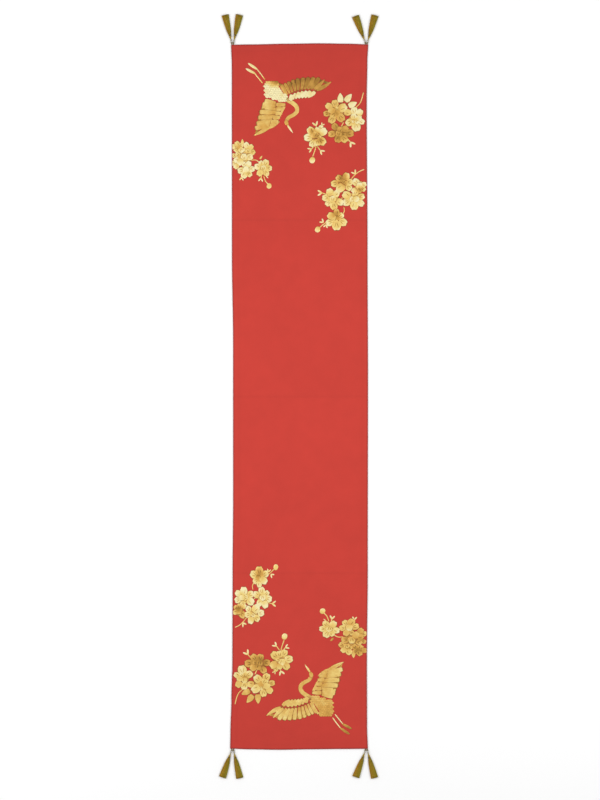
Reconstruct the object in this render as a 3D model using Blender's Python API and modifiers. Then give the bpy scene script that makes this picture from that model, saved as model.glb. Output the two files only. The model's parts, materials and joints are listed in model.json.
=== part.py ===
"""A lined table runner with gold foil cranes and blossom, and a pair of tassels at each corner.

The runner lies flat with its printed side up. +Z is up, +X runs across the width, +Y along the
length, and the origin is the middle of the underside. "Far" is the +Y end, "left" the -X side.
"""

import math

import bmesh
import bpy
from mathutils import Vector

MM = 0.001
OBJECT_NAME = "table_runner"

# Cloth: a face and a lining, sewn together at the edges and turned right side out
LENGTH = 1830 * MM
WIDTH = 350 * MM
CLOTH = 0.3 * MM
GAP = 0.3 * MM
SEAM_ALLOWANCE = 15 * MM
FOLD_STEPS = 6
SEAM_THREAD = 0.3 * MM
SEAM_THREAD_PROUD = 0.1 * MM
SEAM_THREAD_SHORT = 0.5 * MM

# Hanging loops: closed rings of cord, lying level
CORD = 1.0 * MM
LOOP_SPAN = 9.0 * MM
LOOP_BEND_RADIUS = 1.4 * MM
LOOP_BEND_STEPS = 8

# Corner tacks: two at each corner, a thread bar between two round pads
TACK_PAD_OVERHANG = 0.1 * MM
TACK_PAD_RADIUS = LOOP_BEND_RADIUS + CORD / 2 + TACK_PAD_OVERHANG
TACK_PAD_HEIGHT = 0.9 * MM
TACK_CLEARANCE = 0.6 * MM
TACK_SPACING = 2 * TACK_PAD_RADIUS + TACK_CLEARANCE
TACK_BEYOND_END = TACK_PAD_RADIUS + TACK_CLEARANCE
OUTER_TACK_BEYOND_SIDE = 1.0 * MM
TACK_STEPS = 12

# Tassels: distances are measured along the tassel from its pivot in the loop's outer bend
EYE_WIRE = 0.9 * MM
SHANK_RADIUS = 0.7 * MM
SHANK_LENGTH = 4.6 * MM
HEAD_RADIUS = 2.4 * MM
HEAD_LENGTH = 5.3 * MM
HEAD_STEPS = 6
HEAD_SHOULDER_SHARE = 0.4
NECK_RADIUS = 1.7 * MM
WRAP_LENGTH = 3.0 * MM
WRAP_THICKNESS = 0.8 * MM
LOOP_HEIGHT = NECK_RADIUS + GAP + WRAP_THICKNESS
TASSEL_LENGTH = 66.5 * MM
SKIRT_WIDTH = 20 * MM
SKIRT_THICKNESS = 4.8 * MM
SKIRT_SIDES = 14
SKIRT_SHARES = (0.06, 0.2, 0.45, 0.75, 1.0)
SKIRT_FLARE_POWER = 0.62
SKIRT_FULL_THICKNESS_SHARE = 0.25
TURNED_STEPS = 14

# How far each tassel leans sideways from straight out, in degrees: (outer, inner)
SPLAY = {
    ("far", "left"): (13.3, 11.8),
    ("far", "right"): (15.7, 20.5),
    ("near", "left"): (18.7, 12.5),
    ("near", "right"): (14.7, 19.6),
}

# Foil print: drawn once round the print's own centre, and turned half round for the near end.
# It is drawn for a runner with this half length and half width, and keeps to its end and sides.
FOIL = 0.12 * MM
PRINT_CENTRE = Vector((-1.8 * MM, -6.2 * MM))
DRAWN_HALF_LENGTH = 915 * MM
DRAWN_HALF_WIDTH = 175 * MM
PRINT_HALF_WIDTH = WIDTH / 2 - 2.5 * MM
TWIG_WIDTH = 2.4 * MM
PETALS = 5
POINTS_PER_PETAL = 4
PETAL_NOTCH = 0.20
LEAF_SLENDERNESS = 2.5
LEAF_POINTS = 8
BUD_POINTS = 8
CURVE_RESOLUTION = 3
FLAT_ANGLE = 0.5

# Heights of the cloth's layers, from the underside up
LAYER_PITCH = CLOTH + GAP
LINING_HEIGHT = CLOTH / 2
LINING_LIP_HEIGHT = LINING_HEIGHT + LAYER_PITCH
FACE_LIP_HEIGHT = LINING_LIP_HEIGHT + LAYER_PITCH
FACE_HEIGHT = FACE_LIP_HEIGHT + LAYER_PITCH
TOP = FACE_HEIGHT + CLOTH / 2

RED = (0.62, 0.062, 0.042)
SEAM_RED = (0.30, 0.03, 0.025)
GOLD = (0.83, 0.56, 0.17)
OLIVE_GOLD = (0.26, 0.17, 0.03)
DARK_OLIVE = (0.14, 0.10, 0.03)

# The crane's outline in millimetres, from the beak round the near wing, tail, legs and far wing
CRANE = [
    (-16, 693), (-33, 709), (-39, 721), (-38, 731), (-28, 740), (-15, 744), (-11, 751),
    (-14, 760), (-25, 765), (-44, 759), (-50, 741), (-61, 719), (-78, 707), (-100, 697),
    (-119, 683), (-115, 705), (-108, 732), (-100, 757), (-92, 775), (-97, 790), (-96, 813),
    (-121, 843), (-133, 849), (-139, 857), (-131, 856), (-119, 849), (-91, 820), (-90, 826),
    (-108, 848), (-122, 860), (-131, 865), (-134, 872), (-125, 871), (-112, 861), (-83, 829),
    (-76, 832), (-62, 831), (-50, 817), (-30, 827), (-8, 833), (14, 837), (36, 837),
    (56, 834), (72, 829), (86, 824), (72, 814), (53, 806), (40, 796), (24, 786), (0, 782),
    (-20, 780), (-12, 776), (-2, 768), (3, 755), (0, 742), (-12, 732), (-24, 728),
    (-26, 720), (-24, 710),
]  # fmt: skip

# Each spray in millimetres: the side it keeps to, blossoms (x, y, radius), leaves (x, y, length,
# heading in degrees), buds (x, y, radius) and twigs as lines of points
SPRAYS = {
    "large": {
        "side": 1,
        "blossoms": [(96, 745, 28), (143, 724, 26), (109, 690, 26), (122, 742, 20)],
        "leaves": [(124, 771, 30, 100), (106, 775, 28, 80), (141, 760, 30, 40)],
        "buds": [(136, 660, 5)],
        "twigs": [[(109, 690), (136, 660)], [(143, 724), (167, 779), (167, 797)]],
    },
    "single": {
        "side": 1,
        "blossoms": [(45, 680, 26)],
        "leaves": [(49, 714, 12, 60), (38, 712, 12, 120)],
        "buds": [(35, 619, 8), (31, 646, 4), (62, 641, 4)],
        "twigs": [[(45, 680), (35, 619)], [(43, 668), (31, 646)], [(47, 668), (62, 641)],
                  [(45, 690), (49, 714)], [(43, 690), (38, 712)]],
    },
    "middle": {
        "side": 1,
        "blossoms": [(141, 518, 22), (91, 518, 24), (118, 561, 24), (154, 552, 18),
                     (101, 463, 23), (119, 532, 16)],
        "leaves": [(138, 586, 12, 100)],
        "buds": [(52, 439, 8), (60, 461, 4), (68, 444, 4), (60, 531, 5)],
        "twigs": [[(118, 530), (121, 490), (101, 463)], [(101, 463), (52, 439)],
                  [(92, 458), (60, 461)], [(92, 454), (68, 444)], [(91, 518), (60, 531)],
                  [(118, 561), (167, 593)], [(131, 569), (138, 586)]],
    },
    "small": {
        "side": -1,
        "blossoms": [(-154, 650, 17), (-133, 648, 17), (-156, 621, 17), (-138, 622, 18),
                     (-135, 596, 18), (-88, 600, 19)],
        "leaves": [(-146, 666, 14, 90), (-96, 623, 12, 70)],
        "buds": [(-148, 566, 5), (-72, 553, 7), (-95, 567, 4), (-75, 574, 4)],
        "twigs": [[(-138, 622), (-112, 617), (-88, 600)], [(-90, 604), (-96, 623)],
                  [(-135, 596), (-148, 566)], [(-88, 600), (-72, 553)],
                  [(-88, 592), (-95, 567)], [(-86, 592), (-75, 574)]],
    },
}  # fmt: skip


def clear_scene():
    for obj in list(bpy.data.objects):
        bpy.data.objects.remove(obj, do_unlink=True)


def new_collection(name):
    collection = bpy.data.collections.new(name)
    bpy.context.scene.collection.children.link(collection)
    return collection


def material(name, colour, roughness, metallic=0.0):
    made = bpy.data.materials.new(name)
    made.use_nodes = True
    shader = made.node_tree.nodes["Principled BSDF"]
    shader.inputs["Base Color"].default_value = (*colour, 1)
    shader.inputs["Roughness"].default_value = roughness
    shader.inputs["Metallic"].default_value = metallic
    return made


def add_object(name, data, collection, parent=None, finish=None):
    obj = bpy.data.objects.new(name, data)
    collection.objects.link(obj)
    obj.parent = parent
    if finish:
        data.materials.clear()
        data.materials.append(finish)
    return obj


def add_helper(name, data, collection, parent=None):
    """An object that only shapes another one."""
    obj = add_object(name, data, collection, parent)
    obj.hide_render = True
    obj.display_type = "WIRE"
    return obj


def add_empty(name, collection, location, turn=(0, 0, 0), parent=None):
    empty = add_object(name, None, collection, parent)
    empty.location = location
    empty.rotation_euler = turn
    return empty


def mesh_from(shape, name):
    mesh = bpy.data.meshes.new(name)
    shape.to_mesh(mesh)
    shape.free()
    return mesh


def turned(name, profile, steps, collection, parent, finish, closed=False):
    """A turned solid: the profile's (radius, height) points run down its outer side."""
    shape = bmesh.new()
    points = [shape.verts.new((radius, 0, height)) for radius, height in profile]
    for first, second in zip(points, points[1:]):
        shape.edges.new((first, second))
    if closed:
        shape.edges.new((points[-1], points[0]))
    obj = add_object(name, mesh_from(shape, name), collection, parent, finish)
    screw = obj.modifiers.new("turn", "SCREW")
    screw.steps = steps
    screw.render_steps = steps
    screw.use_merge_vertices = True
    screw.merge_threshold = 0.01 * MM
    screw.use_smooth_shade = True
    return obj


def tube(name, points, diameter, collection, parent, finish, cyclic=False):
    curve = bpy.data.curves.new(name, "CURVE")
    curve.dimensions = "3D"
    curve.bevel_depth = diameter / 2
    curve.bevel_resolution = 2
    curve.use_fill_caps = True
    spline = curve.splines.new("POLY")
    spline.points.add(len(points) - 1)
    for target, point in zip(spline.points, points):
        target.co = (*point, 1)
    spline.use_cyclic_u = cyclic
    return add_object(name, curve, collection, parent, finish)


# Cloth


def fold_section(panel_height, lip_height):
    """(inset, height) along the turned edge, from the end of the flat panel to the lip's end."""
    radius = abs(lip_height - panel_height) / 2
    middle = (panel_height + lip_height) / 2
    centre_inset = CLOTH / 2 + radius
    section = []
    for step in range(1, FOLD_STEPS + 1):
        angle = math.pi * step / FOLD_STEPS
        height = middle + (panel_height - middle) * math.cos(angle)
        section.append((centre_inset - radius * math.sin(angle), height))
    section.append((SEAM_ALLOWANCE, lip_height))
    return centre_inset, section


def turn_edge_under(shape, section):
    boundary = list(shape.edges)
    for inset, height in section:
        made = bmesh.ops.extrude_edge_only(shape, edges=boundary)["geom"]
        corners = {item for item in made if isinstance(item, bmesh.types.BMVert)}
        edges = {edge for corner in corners for edge in corner.link_edges}
        boundary = [edge for edge in edges if set(edge.verts) <= corners]
        for corner in corners:
            corner.co.x = math.copysign(WIDTH / 2 - inset, corner.co.x)
            corner.co.y = math.copysign(LENGTH / 2 - inset, corner.co.y)
            corner.co.z = height


def cloth_panel(name, panel_height, lip_height, collection, finish):
    """One layer of cloth with its edges turned in and the seam allowance lying inside."""
    inset, section = fold_section(panel_height, lip_height)
    shape = bmesh.new()
    bmesh.ops.create_grid(shape, x_segments=1, y_segments=1, size=1)
    bmesh.ops.scale(
        shape, vec=(WIDTH / 2 - inset, LENGTH / 2 - inset, 1), verts=shape.verts
    )
    bmesh.ops.translate(shape, vec=(0, 0, panel_height), verts=shape.verts)
    turn_edge_under(shape, section)
    bmesh.ops.recalc_face_normals(shape, faces=shape.faces)
    obj = add_object(name, mesh_from(shape, name), collection, None, finish)
    wall = obj.modifiers.new("cloth thickness", "SOLIDIFY")
    wall.thickness = CLOTH
    wall.offset = 0
    wall.use_even_offset = True
    return obj


def seam_threads(collection, finish):
    """A thread in the groove between the two folds, along each edge."""
    height = (LINING_LIP_HEIGHT + FACE_LIP_HEIGHT) / 2
    side = WIDTH / 2 + SEAM_THREAD_PROUD
    end = LENGTH / 2 + SEAM_THREAD_PROUD
    half_width = WIDTH / 2 - SEAM_THREAD_SHORT
    half_length = LENGTH / 2 - SEAM_THREAD_SHORT
    runs = {
        "far": [(-half_width, end, height), (half_width, end, height)],
        "near": [(-half_width, -end, height), (half_width, -end, height)],
        "left": [(-side, -half_length, height), (-side, half_length, height)],
        "right": [(side, -half_length, height), (side, half_length, height)],
    }
    for place, points in runs.items():
        tube(f"seam_thread_{place}", points, SEAM_THREAD, collection, None, finish)


# Tassels


def tack_profile():
    """Pad, bar and pad, centred on the loop's height."""
    bar_radius = LOOP_BEND_RADIUS - CORD / 2 - GAP
    bar_half = CORD / 2 + GAP
    pad_end = bar_half + TACK_PAD_HEIGHT
    return [
        (0, pad_end),
        (TACK_PAD_RADIUS, pad_end),
        (TACK_PAD_RADIUS, bar_half),
        (bar_radius, bar_half),
        (bar_radius, -bar_half),
        (TACK_PAD_RADIUS, -bar_half),
        (TACK_PAD_RADIUS, -pad_end),
        (0, -pad_end),
    ]


def loop_points():
    """A racetrack round the tack's bar at the origin and the tassel's pivot at LOOP_SPAN."""
    points = []
    for centre, start in ((LOOP_SPAN - LOOP_BEND_RADIUS, 0), (0, math.pi)):
        for step in range(LOOP_BEND_STEPS + 1):
            angle = start + math.pi * step / LOOP_BEND_STEPS
            x = LOOP_BEND_RADIUS * math.cos(angle)
            points.append((x, centre + LOOP_BEND_RADIUS * math.sin(angle), 0))
    return points


def head_profile(eye_radius):
    """The shank from inside the eye's wire, then the rounded head down to the neck."""
    head_start = SHANK_LENGTH
    head_end = SHANK_LENGTH + HEAD_LENGTH
    swell = []
    for step in range(1, HEAD_STEPS):
        share = step / HEAD_STEPS
        shoulder = min(1, share / HEAD_SHOULDER_SHARE)
        base = SHANK_RADIUS + (NECK_RADIUS - SHANK_RADIUS) * shoulder
        lift = math.sin(math.pi * share) * (HEAD_RADIUS - NECK_RADIUS)
        swell.append((base + lift, head_start + HEAD_LENGTH * share))
    outward = [(0, eye_radius), (SHANK_RADIUS, eye_radius), (SHANK_RADIUS, head_start)]
    outward += swell + [(NECK_RADIUS, head_end), (0, head_end)]
    return outward[::-1]


def tassel_head(name, collection, tools, parent, finish):
    """The bound head, with the thread eye that links it to the hanging loop."""
    eye_radius = CORD / 2 + GAP + EYE_WIRE / 2
    head = turned(name, head_profile(eye_radius), TURNED_STEPS, collection, parent, finish)
    bpy.ops.mesh.primitive_torus_add(
        major_segments=16,
        minor_segments=6,
        major_radius=eye_radius,
        minor_radius=EYE_WIRE / 2,
    )
    made = bpy.context.object
    eye = add_helper(f"{name}_eye", made.data, tools, parent)
    eye.rotation_euler = (0, math.pi / 2, 0)
    bpy.data.objects.remove(made)
    join = head.modifiers.new("eye", "BOOLEAN")
    join.operation = "UNION"
    join.object = eye
    return head


def wrap_profile(start):
    """The cross-section of the winding: flat inside, rounded outside."""
    inner = NECK_RADIUS + GAP
    outer = inner + WRAP_THICKNESS
    shoulder = WRAP_THICKNESS / 2
    end = start + WRAP_LENGTH
    return [
        (inner, end),
        (inner + shoulder, end),
        (outer, end - shoulder),
        (outer, start + shoulder),
        (inner + shoulder, start),
        (inner, start),
    ]


def skirt_sections(neck_start, neck_end):
    """(distance, half width, half thickness) along the skirt, opening out from the neck."""
    flare = TASSEL_LENGTH - neck_end
    sections = [(neck_start, NECK_RADIUS, NECK_RADIUS), (neck_end, NECK_RADIUS, NECK_RADIUS)]
    for share in SKIRT_SHARES:
        width = NECK_RADIUS + (SKIRT_WIDTH / 2 - NECK_RADIUS) * share**SKIRT_FLARE_POWER
        filled = min(1, share / SKIRT_FULL_THICKNESS_SHARE)
        thickness = NECK_RADIUS + (SKIRT_THICKNESS / 2 - NECK_RADIUS) * filled
        sections.append((neck_end + flare * share, width, thickness))
    return sections


def tassel_skirt(name, neck_start, neck_end, collection, parent, finish):
    """The bundle of threads: round in the neck, lying flat and wide at its cut end."""
    shape = bmesh.new()
    rings = []
    for distance, half_width, half_thickness in skirt_sections(neck_start, neck_end):
        ring = []
        for side in range(SKIRT_SIDES):
            angle = 2 * math.pi * side / SKIRT_SIDES
            x = half_width * math.cos(angle)
            ring.append(shape.verts.new((x, half_thickness * math.sin(angle), distance)))
        rings.append(ring)
    for lower, upper in zip(rings, rings[1:]):
        for side in range(SKIRT_SIDES):
            after = (side + 1) % SKIRT_SIDES
            shape.faces.new((lower[side], lower[after], upper[after], upper[side]))
    shape.faces.new(rings[0][::-1])
    shape.faces.new(rings[-1])
    obj = add_object(name, mesh_from(shape, name), collection, parent, finish)
    obj.data.shade_smooth()
    return obj


def tassel(place, tack_at, heading, collection, tools, finishes):
    """One tassel with its tack and hanging loop. Heading is turned from +Y, in radians."""
    tack = turned(
        f"corner_tack_{place}", tack_profile(), TACK_STEPS, collection, None, finishes["tie"]
    )
    tack.location = tack_at
    swing = add_empty(f"swing_{place}", collection, tack_at, (0, 0, heading))
    tube(f"hanging_loop_{place}", loop_points(), CORD, collection, swing, finishes["tie"], True)
    # The tassel turns about the middle of the cord in the loop's outer bend
    pivot = (0, LOOP_SPAN, 0)
    flop = add_empty(f"flop_{place}", collection, pivot, (-math.pi / 2, 0, 0), swing)
    tassel_head(f"tassel_head_{place}", collection, tools, flop, finishes["tassel"])
    head_end = SHANK_LENGTH + HEAD_LENGTH
    wrap_start = head_end + GAP
    neck_end = wrap_start + WRAP_LENGTH + GAP
    turned(
        f"neck_wrap_{place}",
        wrap_profile(wrap_start),
        TURNED_STEPS,
        collection,
        flop,
        finishes["tie"],
        closed=True,
    )
    tassel_skirt(
        f"tassel_skirt_{place}", head_end + GAP, neck_end, collection, flop, finishes["tassel"]
    )


def corner_tassels(end, side, collection, tools, finishes):
    towards_end = 1 if end == "far" else -1
    towards_side = 1 if side == "right" else -1
    outer_x = WIDTH / 2 + OUTER_TACK_BEYOND_SIDE
    tack_y = LENGTH / 2 + TACK_BEYOND_END
    placed = (
        ("outer", outer_x, towards_side),
        ("inner", outer_x - TACK_SPACING, -towards_side),
    )
    for splay, (which, tack_x, lean) in zip(SPLAY[end, side], placed):
        along = math.cos(math.radians(splay)) * towards_end
        across = math.sin(math.radians(splay)) * lean
        tack_at = (tack_x * towards_side, tack_y * towards_end, LOOP_HEIGHT)
        heading = math.atan2(-across, along)
        tassel(f"{end}_{side}_{which}", tack_at, heading, collection, tools, finishes)


# Foil print


def on_cloth(points, towards_side=0):
    """The points in metres, kept to their side edge and stopped short of the side seams."""
    shift = (WIDTH / 2 - DRAWN_HALF_WIDTH) * towards_side
    kept = []
    for x, y in points:
        across = max(-PRINT_HALF_WIDTH, min(PRINT_HALF_WIDTH, x * MM + shift))
        kept.append((across, y * MM))
    return kept


def blossom_outline(x, y, radius):
    points = []
    count = PETALS * POINTS_PER_PETAL
    for step in range(count):
        angle = 2 * math.pi * step / count
        swell = abs(math.sin(PETALS * angle / 2))
        reach = radius * (1 - PETAL_NOTCH + PETAL_NOTCH * swell)
        points.append((x + reach * math.cos(angle), y + reach * math.sin(angle)))
    return points


def leaf_outline(x, y, length, heading):
    """A narrow oval, centred on (x, y)."""
    direction = Vector((math.cos(math.radians(heading)), math.sin(math.radians(heading))))
    aside = Vector((-direction.y, direction.x))
    points = []
    for step in range(LEAF_POINTS):
        angle = 2 * math.pi * step / LEAF_POINTS
        along = length / 2 * math.cos(angle)
        across = length / 2 / LEAF_SLENDERNESS * math.sin(angle)
        point = Vector((x, y)) + direction * along + aside * across
        points.append(tuple(point))
    return points


def bud_outline(x, y, radius):
    turns = (2 * math.pi * step / BUD_POINTS for step in range(BUD_POINTS))
    return [(x + radius * math.cos(turn), y + radius * math.sin(turn)) for turn in turns]


def twig_outline(start, finish):
    begin, end = Vector(start), Vector(finish)
    direction = (end - begin).normalized()
    aside = Vector((-direction.y, direction.x)) * TWIG_WIDTH / MM / 2
    corners = (begin - aside, end - aside, end + aside, begin + aside)
    return [tuple(corner) for corner in corners]


def spray_outlines(spray):
    outlines = [blossom_outline(*blossom) for blossom in spray["blossoms"]]
    outlines += [leaf_outline(*leaf) for leaf in spray["leaves"]]
    outlines += [bud_outline(*bud) for bud in spray["buds"]]
    for twig in spray["twigs"]:
        outlines += [twig_outline(start, finish) for start, finish in zip(twig, twig[1:])]
    return outlines


def flat_mesh(name, points, smooth):
    """A closed plate of foil with this outline, made from a filled flat curve."""
    curve = bpy.data.curves.new(name, "CURVE")
    curve.dimensions = "2D"
    curve.fill_mode = "BOTH"
    curve.extrude = FOIL / 2
    curve.resolution_u = CURVE_RESOLUTION
    spline = curve.splines.new("BEZIER" if smooth else "POLY")
    if smooth:
        spline.bezier_points.add(len(points) - 1)
        for target, (x, y) in zip(spline.bezier_points, points):
            target.co = (x, y, 0)
            target.handle_left_type = "AUTO"
            target.handle_right_type = "AUTO"
    else:
        spline.points.add(len(points) - 1)
        for target, (x, y) in zip(spline.points, points):
            target.co = (x, y, 0, 1)
    spline.use_cyclic_u = True
    drawn = bpy.data.objects.new(name, curve)
    bpy.context.scene.collection.objects.link(drawn)
    graph = bpy.context.evaluated_depsgraph_get()
    mesh = bpy.data.meshes.new_from_object(drawn.evaluated_get(graph))
    bpy.data.objects.remove(drawn)
    shape = bmesh.new()
    shape.from_mesh(mesh)
    bmesh.ops.remove_doubles(shape, verts=shape.verts, dist=0.001 * MM)
    bmesh.ops.recalc_face_normals(shape, faces=shape.faces)
    shape.to_mesh(mesh)
    shape.free()
    return mesh


def foil_motif(name, meshes, collection, tools, parent, finish):
    """One foil transfer: its first shape, joined with all the others."""
    motif = add_object(name, meshes[0], collection, parent, finish)
    if len(meshes) == 1:
        return
    shapes = bpy.data.collections.new(f"{name}_shapes")
    tools.children.link(shapes)
    for number, mesh in enumerate(meshes[1:]):
        add_helper(f"{name}_shape_{number}", mesh, shapes, parent)
    join = motif.modifiers.new("join", "BOOLEAN")
    join.operation = "UNION"
    join.operand_type = "COLLECTION"
    join.collection = shapes
    tidy = motif.modifiers.new("merge flat faces", "DECIMATE")
    tidy.decimate_type = "DISSOLVE"
    tidy.angle_limit = math.radians(FLAT_ANGLE)


def foil_print(collection, tools, finish):
    height = TOP + GAP + FOIL / 2
    crane = [flat_mesh("crane", on_cloth(CRANE), smooth=True)]
    sprays = {}
    for which, spray in SPRAYS.items():
        outlines = [on_cloth(outline, spray["side"]) for outline in spray_outlines(spray)]
        sprays[which] = [flat_mesh(f"spray_{which}", outline, False) for outline in outlines]
    end_shift = LENGTH / 2 - DRAWN_HALF_LENGTH
    for end, turn, towards_end in (("far", 0, 1), ("near", math.pi, -1)):
        centre = (PRINT_CENTRE.x, PRINT_CENTRE.y + end_shift * towards_end, height)
        print_frame = add_empty(f"print_{end}", collection, centre, (0, 0, turn))
        foil_motif(f"foil_crane_{end}", crane, collection, tools, print_frame, finish)
        for which, meshes in sprays.items():
            name = f"foil_spray_{which}_{end}"
            foil_motif(name, meshes, collection, tools, print_frame, finish)


def build():
    clear_scene()
    runner = new_collection(OBJECT_NAME)
    tools = new_collection(f"{OBJECT_NAME}_tools")
    red_cloth = material("red_cloth", RED, 0.75)
    lining_cloth = material("lining_cloth", RED, 0.8)
    seam_finish = material("seam_thread", SEAM_RED, 0.7)
    gold_foil = material("gold_foil", GOLD, 0.3, 1.0)
    finishes = {
        "tassel": material("tassel_thread", OLIVE_GOLD, 0.45),
        "tie": material("tie_cord", DARK_OLIVE, 0.6),
    }
    cloth_panel("lining_panel", LINING_HEIGHT, LINING_LIP_HEIGHT, runner, lining_cloth)
    cloth_panel("face_panel", FACE_HEIGHT, FACE_LIP_HEIGHT, runner, red_cloth)
    seam_threads(runner, seam_finish)
    for end, side in SPLAY:
        corner_tassels(end, side, runner, tools, finishes)
    foil_print(runner, tools, gold_foil)


build()
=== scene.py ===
import json
import math
import random

import bmesh
import bpy
from mathutils import Matrix, Vector, noise


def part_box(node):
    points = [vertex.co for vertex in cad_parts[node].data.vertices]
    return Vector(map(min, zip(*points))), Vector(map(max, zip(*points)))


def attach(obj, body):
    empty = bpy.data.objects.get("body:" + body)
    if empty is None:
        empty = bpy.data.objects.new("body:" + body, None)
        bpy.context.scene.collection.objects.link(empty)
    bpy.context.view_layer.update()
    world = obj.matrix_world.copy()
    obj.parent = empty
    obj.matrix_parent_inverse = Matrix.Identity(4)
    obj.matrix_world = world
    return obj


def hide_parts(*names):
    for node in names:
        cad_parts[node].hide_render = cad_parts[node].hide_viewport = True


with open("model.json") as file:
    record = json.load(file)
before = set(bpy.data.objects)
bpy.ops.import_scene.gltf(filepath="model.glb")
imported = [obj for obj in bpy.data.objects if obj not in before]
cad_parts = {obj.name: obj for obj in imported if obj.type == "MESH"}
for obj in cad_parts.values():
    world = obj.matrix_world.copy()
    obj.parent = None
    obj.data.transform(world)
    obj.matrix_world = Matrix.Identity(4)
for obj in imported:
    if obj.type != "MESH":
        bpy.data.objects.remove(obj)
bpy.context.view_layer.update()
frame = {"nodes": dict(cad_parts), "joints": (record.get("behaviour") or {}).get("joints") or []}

# A lined table runner lies face up: red cloth with gold foil cranes and blossom, and a pair of
# tassels at each corner. Far is the +Y end and left the -X side, as in the frame.

MM = 0.001
ENDS = {"far": 1, "near": -1}
SIDES = {"left": -1, "right": 1}
PLACES = [
    f"{end}_{side}_{which}" for end in ENDS for side in SIDES for which in ("outer", "inner")
]
ACROSS = Vector((1, 0, 0))
ALONG = Vector((0, 1, 0))
UP = Vector((0, 0, 1))
JOINED = 0.001 * MM

# Cloth
CLOTH = 0.3 * MM
SEAM_ALLOWANCE = 15 * MM
COLUMNS = 60
ROWS = 340
COLUMN_CROWDING = 0.3
ROW_CROWDING = 0.7
FOLD_STEPS = 6
HEM_STEP = 0.5 * MM
HEM_SLOPE = 4 * MM
WAVE_HEIGHT = 0.45 * MM
CREASE_HEIGHT = 0.35 * MM
CREASE_HALF_WIDTH = 3.5 * MM
CREASES = (-0.5, 0.0, 0.5)
# Painted shade on the cloth: darker along the edges, at the hem's step, on the pressed folds and
# towards the ends
EDGE_SHADE_WIDTH = 2.6 * MM
HEM_SHADE = 0.08
CREASE_SHADE = 0.08
END_SHADE = 0.12

# How the laid cloth strays from its cut: (share along the edge, millimetres towards + axis)
LEFT_DRIFT = [(-1, -5), (-0.96, -4.4), (-0.86, -1.8), (-0.75, 0.8), (-0.5, 1.4), (-0.3, 2.8),
    (0.15, 2.7), (0.4, -0.3), (0.94, -0.6), (1, -2.6)]
RIGHT_DRIFT = [(-1, 2.2), (-0.94, 0.3), (-0.75, -0.1), (-0.5, 2), (0.05, 2.8), (0.4, 1.5), (0.84, -0.6),
    (0.95, 1.0), (1, 3.2)]
FAR_DRIFT = [(-1, -1.6), (-0.7, -0.8), (-0.17, 1.0), (0.3, 2.0), (0.7, 1.0), (1, -0.6)]
NEAR_DRIFT = [(-1, 0.6), (-0.7, -1.0), (-0.3, -2.2), (0.2, -0.8), (0.6, -0.1), (1, 0.4)]

# Seam stitches in the groove between the two folded edges
STITCH = 2.6 * MM
STITCH_GAP = 0.5 * MM
STITCH_RADIUS = 0.17 * MM
STITCH_SLANT = 0.16 * MM
STITCH_SINK = 0.18 * MM

# Foil
FOIL = 0.12 * MM
FOIL_LIFT = 0.14 * MM
FOIL_CROWN = 0.22 * MM
SIDE_MARGIN = 1.5 * MM
LAYERS = 5
LAYER_STEP = 0.16
RIM_START = 0.80
UNDERLAY = -0.5
LIFTED = 1.0


# ---- small tools ----


def smooth(share):
    """0 to 1 with level ends."""
    share = min(1, max(0, share))
    return share * share * (3 - 2 * share)


def hump(away, width):
    """1 at no distance, falling off smoothly past the width."""
    return math.exp(-((away / width) ** 2))


def along_guide(guide, share):
    """The guide's value at this share of the edge, easing from point to point."""
    for (start, low), (end, high) in zip(guide, guide[1:]):
        if share <= end:
            return low + (high - low) * smooth((share - start) / (end - start))
    return guide[-1][1]


def through(points):
    """A smooth curve through the points, as a function of the share of its length."""
    points = [Vector(point) for point in points]
    count = len(points) - 1
    padded = [points[0] * 2 - points[1], *points, points[-1] * 2 - points[-2]]

    def place(share):
        step = min(int(share * count), count - 1)
        rest = share * count - step
        before, first, second, after = padded[step : step + 4]
        return 0.5 * (
            2 * first
            + (second - before) * rest
            + (2 * before - 5 * first + 4 * second - after) * rest**2
            + (3 * first - before - 3 * second + after) * rest**3
        )

    return place


def heading(degrees):
    return Vector((math.cos(math.radians(degrees)), math.sin(math.radians(degrees))))


def placed(name, data):
    """A new object in the scene, at the origin."""
    made = bpy.data.objects.new(name, data)
    bpy.context.scene.collection.objects.link(made)
    return made


def mesh_of(shape, name):
    mesh = bpy.data.meshes.new(name)
    shape.to_mesh(mesh)
    shape.free()
    return mesh


def piece(shape, name, finish, body, replaced, outwards=True):
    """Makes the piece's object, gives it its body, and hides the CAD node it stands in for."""
    if outwards:
        bmesh.ops.recalc_face_normals(shape, faces=shape.faces)
    mesh = mesh_of(shape, name)
    mesh.materials.append(finish)
    mesh.shade_smooth()
    obj = placed(name, mesh)
    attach(obj, body)
    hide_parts(replaced)
    return obj


def everything(shape):
    return shape.verts[:] + shape.edges[:] + shape.faces[:]


def tube_template(name, sides, steps, capped):
    """A straight tube of radius 1 from z 0 to 1, with UV of turns round it and share along it."""
    shape = bmesh.new()
    bmesh.ops.create_cone(
        shape, cap_ends=capped, segments=sides, radius1=1, radius2=1, depth=1
    )
    bmesh.ops.translate(shape, vec=(0, 0, 0.5), verts=shape.verts)
    for step in range(1, steps):
        bmesh.ops.bisect_plane(
            shape,
            geom=everything(shape),
            plane_co=(0, 0, step / steps),
            plane_no=(0, 0, 1),
        )
    uv = shape.loops.layers.uv.new("turns")
    for face in shape.faces:
        middle = face.calc_center_median()
        middle_turn = math.atan2(middle.y, middle.x) / math.tau
        for loop in face.loops:
            turn = math.atan2(loop.vert.co.y, loop.vert.co.x) / math.tau
            turn += round(middle_turn - turn)
            loop[uv].uv = (turn, loop.vert.co.z)
    return mesh_of(shape, name)


def pad_template():
    shape = bmesh.new()
    bmesh.ops.create_uvsphere(shape, u_segments=24, v_segments=8, radius=1)
    shape.loops.layers.uv.new("turns")
    return mesh_of(shape, "pad")


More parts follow.
